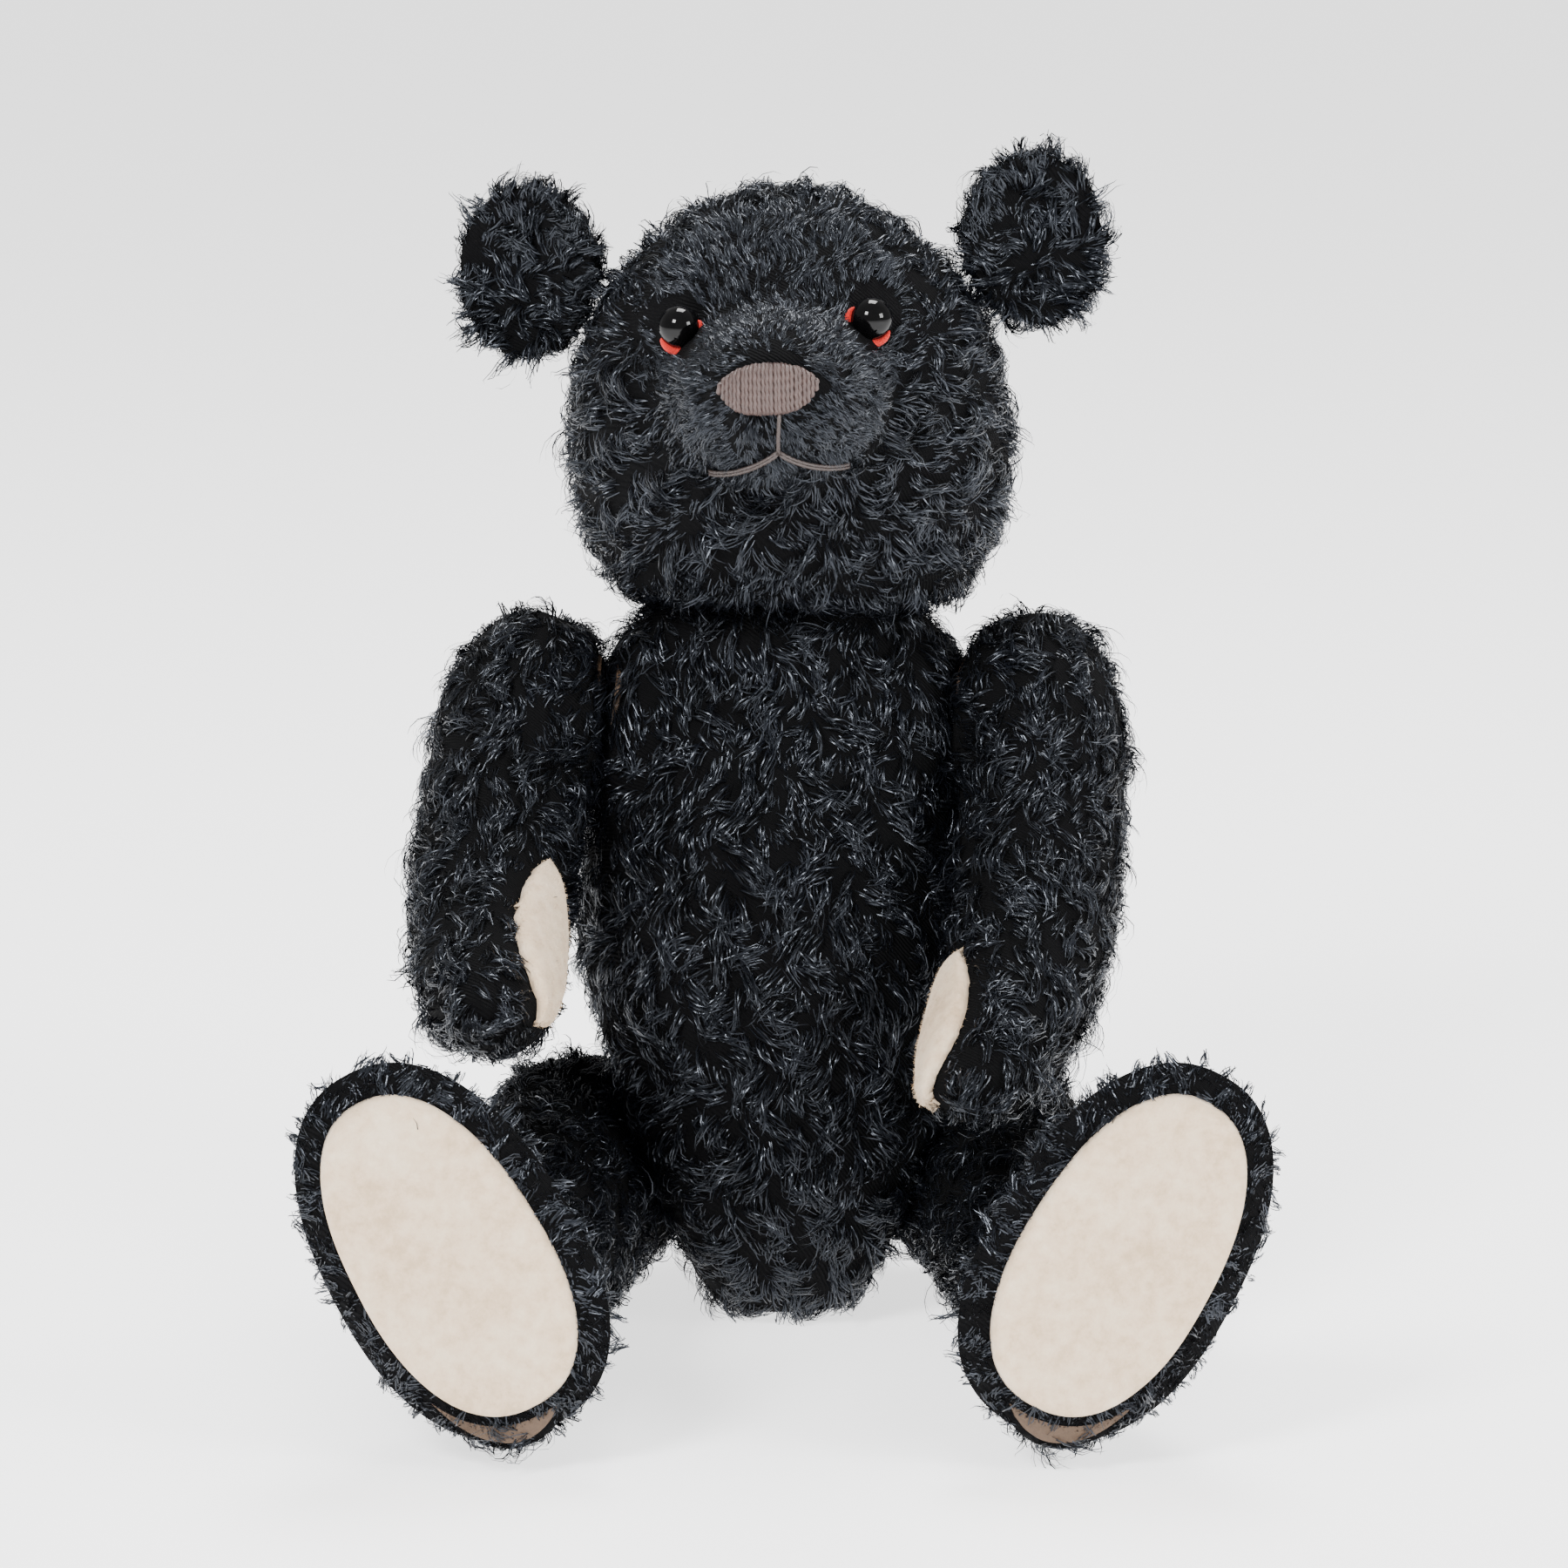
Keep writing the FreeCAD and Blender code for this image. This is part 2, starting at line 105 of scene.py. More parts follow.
class Shade:
    """A socket of a node tree, with the operators of the arithmetic that the materials use."""

    def __init__(self, tree, socket):
        self.tree = tree
        self.socket = socket

    def node(self, kind, settings=None, output=0, **values):
        """A new node: its settings are set first, then its sockets get the values or links."""
        made = self.tree.nodes.new(kind)
        for key, value in (settings or {}).items():
            if key == "stops":
                ramp = made.color_ramp.elements
                while len(ramp) < len(value):
                    ramp.new(0.5)
                for element, (place, color) in zip(ramp, value):
                    element.position = place
                    element.color = (*color, 1)
            else:
                setattr(made, key, value)
        for key, value in values.items():
            socket = made.inputs[int(key[1:])] if key[1:].isdigit() else made.inputs[key.replace("_", " ")]
            if isinstance(value, Shade):
                self.tree.links.new(value.socket, socket)
            else:
                socket.default_value = value
        return Shade(self.tree, made.outputs[output])

    def math(self, operation, first, second=0.0):
        return self.node("ShaderNodeMath", {"operation": operation}, i0=first, i1=second)

    def __add__(self, other):
        return self.math("ADD", self, other)

    def __sub__(self, other):
        return self.math("SUBTRACT", self, other)

    def __rsub__(self, other):
        return self.math("SUBTRACT", other, self)

    def __mul__(self, other):
        return self.math("MULTIPLY", self, other)

    __radd__ = __add__
    __rmul__ = __mul__

    def blend(self, low, high):
        """The color between two colors at this value, from 0 to 1."""
        colors = [(*color, 1) if isinstance(color, tuple) else color for color in (low, high)]
        return self.node("ShaderNodeMix", {"data_type": "RGBA"}, output=2, i0=self, i6=colors[0],
                         i7=colors[1])

    def noise(self, scale, detail=2.0, roughness=0.5):
        """Soft noise of this many waves a metre, read on this vector."""
        return self.node("ShaderNodeTexNoise", {}, Vector=self, Scale=scale, Detail=detail,
                         Roughness=roughness)


def new_material(name, **constants):
    """A Principled material; returns it with its shader node and its object coordinates."""
    material = bpy.data.materials.new(name)
    material.use_nodes = True
    shader = material.node_tree.nodes["Principled BSDF"]
    for key, value in constants.items():
        shader.inputs[key.replace("_", " ")].default_value = value
    place = material.node_tree.nodes.new("ShaderNodeTexCoord").outputs["Object"]
    return material, shader, Shade(material.node_tree, place)


def connect(shader, socket, value):
    value.tree.links.new(value.socket, shader.inputs[socket])


def raise_bump(shader, height, distance, strength=1.0):
    """Feeds a height to the shader's normal through a Bump node; distance is its depth in metres."""
    bump = height.node("ShaderNodeBump", {}, Height=height, Distance=distance, Strength=strength)
    connect(shader, "Normal", bump)


def new_piece(name, points, corners, sizes, material):
    """A smooth mesh from points, the corner indices of all faces in a row, and each face's corner count."""
    mesh = bpy.data.meshes.new(name)
    mesh.vertices.add(len(points))
    mesh.vertices.foreach_set("co", np.ascontiguousarray(points, np.float32).ravel())
    mesh.loops.add(len(corners))
    mesh.loops.foreach_set("vertex_index", np.ascontiguousarray(corners, np.int32))
    mesh.polygons.add(len(sizes))
    mesh.polygons.foreach_set("loop_start", np.concatenate([[0], np.cumsum(sizes)[:-1]]).astype(np.int32))
    mesh.update(calc_edges=True)
    mesh.polygons.foreach_set("use_smooth", np.ones(len(sizes), bool))
    mesh.materials.append(material)
    piece = bpy.data.objects.new(name, mesh)
    bpy.context.scene.collection.objects.link(piece)
    return piece


floor_paint, floor_shader, floor_place = new_material("white_sweep", Roughness=0.8, Specular_IOR_Level=0.2,
                                                      Emission_Color=(1, 1, 1, 1), Emission_Strength=1.7)
floor_tone = floor_place.noise(6.0, 3.0).blend((0.90, 0.90, 0.91), (0.93, 0.93, 0.94))
connect(floor_shader, "Base Color", floor_tone)
FLOOR_HALF = 4.0
floor = new_piece("floor", FLOOR_HALF * np.array([(-1, -1, 0), (1, -1, 0), (1, 1, 0), (-1, 1, 0)]),
                  [0, 1, 2, 3], [4], floor_paint)


# ---------------------------------------------------------------- cloth skins
# Each body part is a bag of knitted backing cloth, cut as panels, sewn, turned and stuffed hard with
# wood wool. The bag is the union of the part's solids, swelled between its seams by a cloth simulation
# and drawn in by the height at which the pile grows from it.
SKIN_CELL = 0.004
EAR_CELL = 0.003
SWELL_MOST = 0.0025
SWELL_PRESSURE = 4.0
SWELL_FRAMES = 20
DRAW_IN = 0.0030
STUFFING_GAP = 0.0012

backing, backing_shader, place = new_material("mohair_backing", Roughness=0.9, Specular_IOR_Level=0.1)
knit = place.node("ShaderNodeTexWave", {"bands_direction": "DIAGONAL"}, Vector=place, Scale=420.0,
                  Distortion=2.0)
backing_tone = place.noise(60.0).blend((0.0008, 0.0008, 0.0010), (0.0025, 0.0025, 0.0030))
connect(backing_shader, "Base Color", backing_tone)
raise_bump(backing_shader, knit, 0.0003)


def unit(vectors):
    """Vectors divided by their lengths."""
    return vectors / np.maximum(np.linalg.norm(vectors, axis=-1, keepdims=True), 1e-12)


def mesh_points(mesh):
    points = np.empty(len(mesh.vertices) * 3, np.float32)
    mesh.vertices.foreach_get("co", points)
    return points.reshape(-1, 3).astype(float)


def mesh_normals(mesh):
    normals = np.empty(len(mesh.vertices) * 3, np.float32)
    mesh.vertex_normals.foreach_get("vector", normals)
    return normals.reshape(-1, 3).astype(float)


def evaluated(obj):
    """A copy of the object's mesh with its modifiers applied."""
    return bpy.data.meshes.new_from_object(obj.evaluated_get(bpy.context.evaluated_depsgraph_get()))


def largest_shell(mesh):
    """Keeps the largest connected shell: each point takes the lowest number met along its edges."""
    edges = np.empty(len(mesh.edges) * 2, np.int32)
    mesh.edges.foreach_get("vertices", edges)
    first, second = edges.reshape(-1, 2).T
    label = np.arange(len(mesh.vertices))
    settled = False
    while not settled:
        low = np.minimum(label[first], label[second])
        lower = label.copy()
        np.minimum.at(lower, first, low)
        np.minimum.at(lower, second, low)
        lower = lower[lower]
        settled = bool((lower == label).all())
        label = lower
    names, counts = np.unique(label, return_counts=True)
    form = bmesh.new()
    form.from_mesh(mesh)
    form.verts.ensure_lookup_table()
    stray = np.flatnonzero(label != names[counts.argmax()])
    bmesh.ops.delete(form, geom=[form.verts[i] for i in stray], context="VERTS")
    form.to_mesh(mesh)
    form.free()


def make_skin(name, body, nodes, cell):
    """The union of CAD solids on a voxel grid, smoothed: one closed shell of quads."""
    form = bmesh.new()
    for node in nodes:
        form.from_mesh(frame["nodes"][node].data)
    bmesh.ops.remove_doubles(form, verts=form.verts, dist=1e-6)
    mesh = bpy.data.meshes.new(name)
    form.to_mesh(mesh)
    form.free()
    skin = bpy.data.objects.new(name, mesh)
    bpy.context.scene.collection.objects.link(skin)
    union = skin.modifiers.new("union", "REMESH")
    union.mode = "VOXEL"
    union.voxel_size = cell
    ease = skin.modifiers.new("ease", "SMOOTH")
    ease.iterations = 2
    mesh = evaluated(skin)
    skin.modifiers.clear()
    largest_shell(mesh)
    skin.data = mesh
    mesh.materials.clear()
    mesh.materials.append(backing)
    mesh.polygons.foreach_set("use_smooth", np.ones(len(mesh.polygons), bool))
    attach(skin, body)
    return skin


def node_tree(*nodes):
    """A search tree over the triangles of CAD nodes."""
    points = []
    faces = []
    for node in nodes:
        mesh = frame["nodes"][node].data
        corners = np.empty(len(mesh.loops), np.int32)
        mesh.loops.foreach_get("vertex_index", corners)
        faces.append(corners.reshape(-1, 3) + sum(len(p) for p in points))
        points.append(mesh_points(mesh))
    return BVHTree.FromPolygons(np.concatenate(points).tolist(), np.concatenate(faces).tolist())


def distance(points, tree):
    """Distance of each point from a search tree."""
    return np.array([tree.find_nearest(Vector(p))[3] for p in points])


def swell(skins):
    """Cloth simulation of the stuffed bags: pressure from inside, pinned at the seams and the discs; the
    movement of a point is cut down to SWELL_MOST."""
    starts = []
    for skin, pinned in skins:
        starts.append(mesh_points(skin.data))
        group = skin.vertex_groups.new(name="sewn")
        group.add(np.flatnonzero(pinned).tolist(), 1.0, "REPLACE")
        cloth = skin.modifiers.new("stuffed", "CLOTH")
        cloth.settings.use_pressure = True
        cloth.settings.uniform_pressure_force = SWELL_PRESSURE
        cloth.settings.effector_weights.gravity = 0.0
        cloth.settings.vertex_group_mass = "sewn"
        cloth.settings.quality = 4
        cloth.point_cache.frame_end = SWELL_FRAMES
    for step in range(1, SWELL_FRAMES + 1):
        bpy.context.scene.frame_set(step)
    shapes = [mesh_points(evaluated(skin)) for skin, pinned in skins]
    for (skin, pinned), start, shape in zip(skins, starts, shapes):
        skin.modifiers.clear()
        skin.vertex_groups.clear()
        move = shape - start
        share = np.minimum(1.0, SWELL_MOST / np.maximum(np.linalg.norm(move, axis=1, keepdims=True), 1e-9))
        skin.data.vertices.foreach_set("co", (start + move * share).astype(np.float32).ravel())
        skin.data.update()
    bpy.context.scene.frame_set(1)


def draw_in(skin, depth, stuffing, centres):
    """Moves the cloth inwards along its normals to the foot of the pile, but not into the stuffing, and
    not at the joints, where the discs press it flat."""
    points = mesh_points(skin.data)
    deep = np.full(len(points), depth)
    if stuffing:
        deep = np.minimum(deep, distance(points, node_tree(stuffing)) - STUFFING_GAP)
    for centre, reach in centres:
        deep = deep * np.clip((np.linalg.norm(points - centre, axis=1) - reach) / 0.008, 0, 1)
    points -= deep[:, None] * mesh_normals(skin.data)
    skin.data.vertices.foreach_set("co", points.astype(np.float32).ravel())
    skin.data.update()


joints = {joint["child"]: joint for joint in frame["joints"]}
pivot = {name: np.array(joint["pos_m"]) for name, joint in joints.items()}
outward = {name: unit(np.array(joint["axis"])) for name, joint in joints.items()}
for limb in ("arm_left", "leg_left"):
    outward[limb] = -outward[limb]

PARTS = {"torso": ("body", ["body_panel_left", "body_panel_right"], "body_stuffing"),
         "head": ("head", ["head_side_left", "head_side_right", "head_gusset"], "head_stuffing")}
for side in ("left", "right"):
    PARTS["arm_" + side] = ("arm_" + side, ["arm_inner_panel_" + side, "arm_outer_panel_" + side,
                                            "paw_pad_" + side], "arm_stuffing_" + side)
    PARTS["leg_" + side] = ("leg_" + side, ["leg_inner_panel_" + side, "leg_outer_panel_" + side,
                                            "foot_pad_" + side], "leg_stuffing_" + side)

skins = {}
for name, (body, panels, stuffing) in PARTS.items():
    skins[name] = make_skin(name + "_backing", body, panels + [stuffing], SKIN_CELL)
    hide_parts(*[panel for panel in panels if "pad" not in panel])
for side in ("left", "right"):
    cloths = ["ear_front_" + side, "ear_back_" + side]
    skins["ear_" + side] = make_skin("ear_" + side + "_backing", "head", cloths, EAR_CELL)
    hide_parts(*cloths)

SEAM_REACH = 0.0035
DISC_REACH = {"head": 0.034, "arm_left": 0.022, "arm_right": 0.022, "leg_left": 0.027, "leg_right": 0.027}
bags = []
for name, (body, panels, stuffing) in PARTS.items():
    start = mesh_points(skins[name].data)
    near = np.array([distance(start, node_tree(panel)) for panel in panels])
    pinned = (near < SEAM_REACH).sum(0) > 1
    for part, reach in DISC_REACH.items():
        if body in ("body", part):
            pinned |= np.linalg.norm(start - pivot[part], axis=1) < reach
    bags.append((skins[name], pinned))
swell(bags)
for name, skin in skins.items():
    body, panels, stuffing = PARTS.get(name, ("head", [], None))
    centres = [(pivot[part], reach) for part, reach in DISC_REACH.items() if body in ("body", part)]
    draw_in(skin, DRAW_IN if body != "head" else 0.0015, stuffing, centres)
    0.3 if "ear" in name else 0.9


# ---------------------------------------------------------------- felt pads
# Cream wool felt, cut as long ovals for the soles and as leaves for the palms, sewn into openings in the
# mohair and stretched over hardboard or wood wool. A band of the mohair runs round each sole.
felt, felt_shader, place = new_material("wool_felt", Roughness=0.95, Specular_IOR_Level=0.15,
                                        Sheen_Weight=0.25, Sheen_Roughness=0.6)
matting = place.noise(260.0, 4.0, 0.65)
mottle = place.noise(45.0, 3.0) * 0.4 + matting * 0.6
connect(felt_shader, "Base Color", mottle.node("ShaderNodeValToRGB", {"stops": [
    (0.36, (0.60, 0.43, 0.27)), (0.50, (0.74, 0.56, 0.38)), (0.66, (0.83, 0.67, 0.49))]}, Fac=mottle))
raise_bump(felt_shader, place.noise(1500.0, 3.0, 0.7) * 0.5 + matting, 0.0007)

limb_axes = {}
for side in ("left", "right"):
    for limb, pad in (("arm_", "paw_pad_"), ("leg_", "foot_pad_")):
        low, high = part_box(pad + side)
        reach = np.array((low + high) / 2) - pivot[limb + side]
        out = outward[limb + side]
        along = unit(reach - out * (reach @ out))
        limb_axes[limb + side] = (along, out, np.cross(along, out) * (1 if side == "left" else -1))

CROWN = 0.0012
CREASE = 0.0008
SOLE_WAVE = 0.0004
SOLE_POWER = 2.3
SOLE_HALF = (0.0425, 0.0235)
SOLE_RAISE = 0.0035
SOLE_TURN = radians(-8)
RIM_WIDE = 0.0090
RIM_DROP = 0.0035
FELT_THICK = 0.0014


def dot(first, second):
    return (first * second).sum(-1, keepdims=True)


def wander(points, size, seed):
    """Smooth noise from about -1 to 1: the scaled mean of six sine waves, all of one size, in random
    directions."""
    draw = np.random.default_rng(seed)
    waves = unit(draw.normal(0, 1, (6, 3))) * 2 * pi / size
    return 1.7 * np.sin(points @ waves.T + draw.uniform(0, 2 * pi, 6)).mean(1)


def pad_frame(node, limb):
    """Centre, long, short and outward axes and half sizes of a pad: the main axes of its points."""
    points = mesh_points(frame["nodes"][node].data)
    middle = (points.max(0) + points.min(0)) / 2
    axes = np.linalg.svd(points - middle, full_matrices=False)[2]
    if axes[2] @ (middle - pivot[limb]) < 0:
        axes[2] *= -1
    if axes[0][2] < 0:
        axes[0] *= -1
    axes[1] = np.cross(axes[2], axes[0])
    spans = (points - middle) @ axes.T
    middle = middle + ((spans.max(0) + spans.min(0)) / 2) @ axes
    return middle, axes, (spans.max(0) - spans.min(0)) / 2


def net(rows, columns, closed):
    """Corner indices of the quads of a grid of points, its columns joined up if closed."""
    last = columns if closed else columns - 1
    row, column = np.meshgrid(np.arange(rows - 1), np.arange(last), indexing="ij")
    after = (column + 1) % columns
    return np.stack([row * columns + column, row * columns + after, (row + 1) * columns + after,
                     (row + 1) * columns + column], -1).reshape(-1, 4)


def oval(angle):
    """Radius of a slightly squared circle, which is 1 on both axes: a superellipse."""
    return (np.abs(np.cos(angle)) ** SOLE_POWER + np.abs(np.sin(angle)) ** SOLE_POWER) ** (-1 / SOLE_POWER)


def sole_frame(side):
    """The frame of the foot pad's node, turned and raised a little in its plane, with the half sizes of
    the visible sole."""
    middle, axes, half = pad_frame("foot_pad_" + side, "leg_" + side)
    turn = SOLE_TURN if side == "left" else -SOLE_TURN
    middle = middle + SOLE_RAISE * axes[0]
    axes[:2] = (axes[0] * cos(turn) + axes[1] * sin(turn), axes[1] * cos(turn) - axes[0] * sin(turn))
    half[:2] = SOLE_HALF
    return middle, axes, half


def sole_rim(side):
    """Rings that leave the sole's edge outwards and bend back over it: the drop grows with the square of
    the way out."""
    middle, axes, half = sole_frame(side)
    out = np.linspace(-0.2, 1, 8)[:, None]
    angle = np.linspace(0, 2 * pi, 97)[None, :-1]
    shape = oval(angle)
    long = (half[0] + RIM_WIDE * out) * shape * np.cos(angle)
    short = (half[1] + RIM_WIDE * out) * shape * np.sin(angle) * (1 - 0.06 * np.cos(angle))
    high = half[2] - 0.0012 - RIM_DROP * out ** 2 * np.ones_like(angle)
    points = middle + np.stack([long, short, high], -1).reshape(-1, 3) @ axes
    quads = net(len(out), angle.size, True)
    rim = new_piece("sole_rim_" + side, points, quads.ravel(), np.full(len(quads), 4), backing)
    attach(rim, "leg_" + side)
    return rim


def sole_pad(side):
    """Rings of an oval, raised by a crown that falls off with the square of the radius, less a shallow
    crease across the arch, and turned down at the edge."""
    middle, axes, half = sole_frame(side)
    ring = np.concatenate([np.linspace(0.02, 1, 30), [1.015]])[:, None]
    angle = np.linspace(0, 2 * pi, 97)[None, :-1]
    shape = oval(angle)
    long = half[0] * ring * shape * np.cos(angle)
    short = half[1] * ring * shape * np.sin(angle) * (1 - 0.06 * np.cos(angle))
    high = half[2] + CROWN * (1 - ring ** 2) * np.ones_like(angle)
    high = high - CREASE * np.exp(-((long - 0.16 * half[0] + 0.15 * short) / 0.005) ** 2) * (1 - ring ** 2)
    flat = np.stack([long, short, 0 * long], -1).reshape(-1, 3)
    high = high + SOLE_WAVE * wander(flat, 0.02, 4).reshape(long.shape)
    high[-1] -= 0.0022
    points = middle + np.stack([long, short, high], -1).reshape(-1, 3) @ axes
    points = np.vstack([points, middle + (half[2] + CROWN) * axes[2]])
    quads = net(len(ring), angle.size, True)
    hub = np.stack([np.roll(np.arange(angle.size), -1), np.arange(angle.size),
                    np.full(angle.size, len(points) - 1)], -1)
    return new_piece("sole_pad_" + side, points, np.concatenate([quads.ravel(), hub.ravel()]),
                     np.array([4] * len(quads) + [3] * len(hub)), felt)


def palm_pad(side):
    """A leaf between two equal arcs, held just before the palm and laid on the nearest points of the
    arm's skin, then raised off it by less towards the edge."""
    middle, axes, half = pad_frame("paw_pad_" + side, "arm_" + side)
    along = limb_axes["arm_" + side][0]
    station = (middle - pivot["arm_" + side]) @ along
    inner = mesh_points(frame["nodes"]["arm_stuffing_" + side].data)
    near = np.abs((inner - pivot["arm_" + side]) @ along - station) < 0.012
    core = (inner[near].max(0) + inner[near].min(0)) / 2
    points = mesh_points(frame["nodes"]["paw_pad_" + side].data)
    middle = points.mean(0)
    core = core + along * ((middle - core) @ along)
    front = unit(middle - core)
    long_way = unit(axes[0] - front * (axes[0] @ front))
    short_way = np.cross(front, long_way)
    size, slide = PALM_LAY[side]
    middle = middle + slide * along
    half[0] *= size
    u, v = np.meshgrid(np.linspace(-0.995, 0.995, PALM_ROWS), np.linspace(-1, 1, PALM_COLUMNS),
                       indexing="ij")
    long, short = half[0] * u, PALM_HALF * (1 - u * u) * v
    flat = (long[..., None] * long_way + short[..., None] * short_way).reshape(-1, 3)
    points = middle + PALM_START * front + flat
    quads = net(PALM_ROWS, PALM_COLUMNS, False)
    if np.cross(points[PALM_COLUMNS] - points[0], points[1] - points[0]) @ front > 0:
        quads = quads[:, ::-1]
    pad = new_piece("palm_pad_" + side, points, quads.ravel(), np.full(len(quads), 4), felt)
    lay = pad.modifiers.new("lay", "SHRINKWRAP")
    lay.target = skins["arm_" + side]
    lay.wrap_method = "NEAREST_SURFACEPOINT"
    mesh = evaluated(pad)
    pad.modifiers.clear()
    edge = np.maximum(np.abs(u), np.abs(v)).ravel()
    lift = PALM_LIFT - PALM_EDGE_DROP * edge ** 8
    laid = mesh_points(mesh) + lift[:, None] * mesh_normals(mesh)
    pad.data.vertices.foreach_set("co", laid.astype(np.float32).ravel())
    pad.data.update()
    return pad


PALM_HALF = 0.0125
PALM_START = 0.003
PALM_LIFT = 0.0034
PALM_EDGE_DROP = 0.0030
PALM_ROWS = 64
PALM_COLUMNS = 26
PALM_LAY = {"left": (0.88, 0.009), "right": (1.06, -0.002)}
pads = {}
rims = {}
for side in ("left", "right"):
    rims[side] = sole_rim(side)
    for pad, node, limb in ((sole_pad(side), "foot_pad_" + side, "leg_" + side),
                            (palm_pad(side), "paw_pad_" + side, "arm_" + side)):
        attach(pad, limb)
        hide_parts(node)
        thick = pad.modifiers.new("thick", "SOLIDIFY")
        thick.thickness = FELT_THICK
        thick.offset = -1
        pads[limb] = pad


# ---------------------------------------------------------------- mohair pile
# Goat's hair woven into the backing and crimped, so that it stands in curled locks of many fibres, glossy
# black with a blue cast. It is combed down the body, along the limbs and back from the nose.
PILE_LONG = 0.0120
BALD = {"arm": 0.010, "leg": 0.014, "neck": 0.022}
CLUMP_LONG = 0.013
CLUMP_TURN = 0.014
CLUMP_CURL = 0.010
CLUMP_LEAN = 0.012
LOCK_PITCH = 0.0034
ROOT_DEPTH = 0.0006
LEAST_RISE = 0.0012
STEPS = 6
SHORTEST = 0.0008


def pile_material(name, dark, light, roughness):
    """Glossy hair whose tone drifts from lock to lock and from fibre to fibre."""
    material, shader, place = new_material(name, Roughness=roughness, IOR=1.55, Specular_IOR_Level=0.42,
                                           Specular_Tint=(0.80, 0.87, 1.0, 1))
    tone = place.noise(110.0, 2.0) * 0.55 + place.noise(900.0, 1.0) * 0.45
    ramp = tone.node("ShaderNodeValToRGB", {"stops": [(0.38, dark), (0.62, light)]}, Fac=tone)
    connect(shader, "Base Color", ramp)
    connect(shader, "Roughness", place.noise(300.0) * 0.2 + (roughness - 0.1))
    return material


mohair = pile_material("black_mohair", (0.0010, 0.0012, 0.0016), (0.0055, 0.0065, 0.0095), 0.32)
short_mohair = pile_material("clipped_mohair", (0.0012, 0.0014, 0.0019), (0.0060, 0.0070, 0.0100), 0.38)


def spread(skin, count, draw):
    """Points spread evenly by area over a skin, and the normals there."""
    mesh = skin.data
    mesh.calc_loop_triangles()
    corners = np.empty(len(mesh.loop_triangles) * 3, np.int32)
    mesh.loop_triangles.foreach_get("vertices", corners)
    corners = corners.reshape(-1, 3)
    points = mesh_points(mesh)[corners]
    crossed = np.cross(points[:, 1] - points[:, 0], points[:, 2] - points[:, 0])
    area = np.cumsum(np.linalg.norm(crossed, axis=1))
    at = (np.arange(count) + draw.random(count)) / count * area[-1]
    chosen = np.minimum(np.searchsorted(area, at), len(corners) - 1)
    share = draw.random((count, 2))
    share = np.where(share.sum(1, keepdims=True) > 1, 1 - share, share)
    weight = np.column_stack([1 - share.sum(1), share])[..., None]
    normals = mesh_normals(mesh)[corners[chosen]]
    return (points[chosen] * weight).sum(1), unit((normals * weight).sum(1))


def skin_area(skin):
    """Area of a skin in square metres."""
    area = np.empty(len(skin.data.polygons), np.float32)
    skin.data.polygons.foreach_get("area", area)
    return float(area.sum())


def ribbons(name, material, line, wide, across):
    """Tapered ribbons along lines of points: each has five pairs of points and a tip, which make four
    quads and a triangle."""
    count = len(line)
    taper = np.array([0.85, 1.0, 1.0, 0.85, 0.6])[None, :, None]
    edge = across[:, :-1] * wide[:, None, None] * taper
    left, right = line[:, :-1] - edge, line[:, :-1] + edge
    points = np.concatenate([np.stack([left, right], 2).reshape(count, -1, 3), line[:, -1:]], 1)
    corners = []
    for pair in range(STEPS - 2):
        corners += [2 * pair, 2 * pair + 2, 2 * pair + 3, 2 * pair + 1]
    corners += [2 * STEPS - 4, 2 * STEPS - 2, 2 * STEPS - 3]
    corners = np.array(corners)[None] + np.arange(count)[:, None] * (2 * STEPS - 1)
    sizes = np.tile([4] * (STEPS - 2) + [3], count)
    return new_piece(name, points.reshape(-1, 3), corners.ravel(), sizes, material)


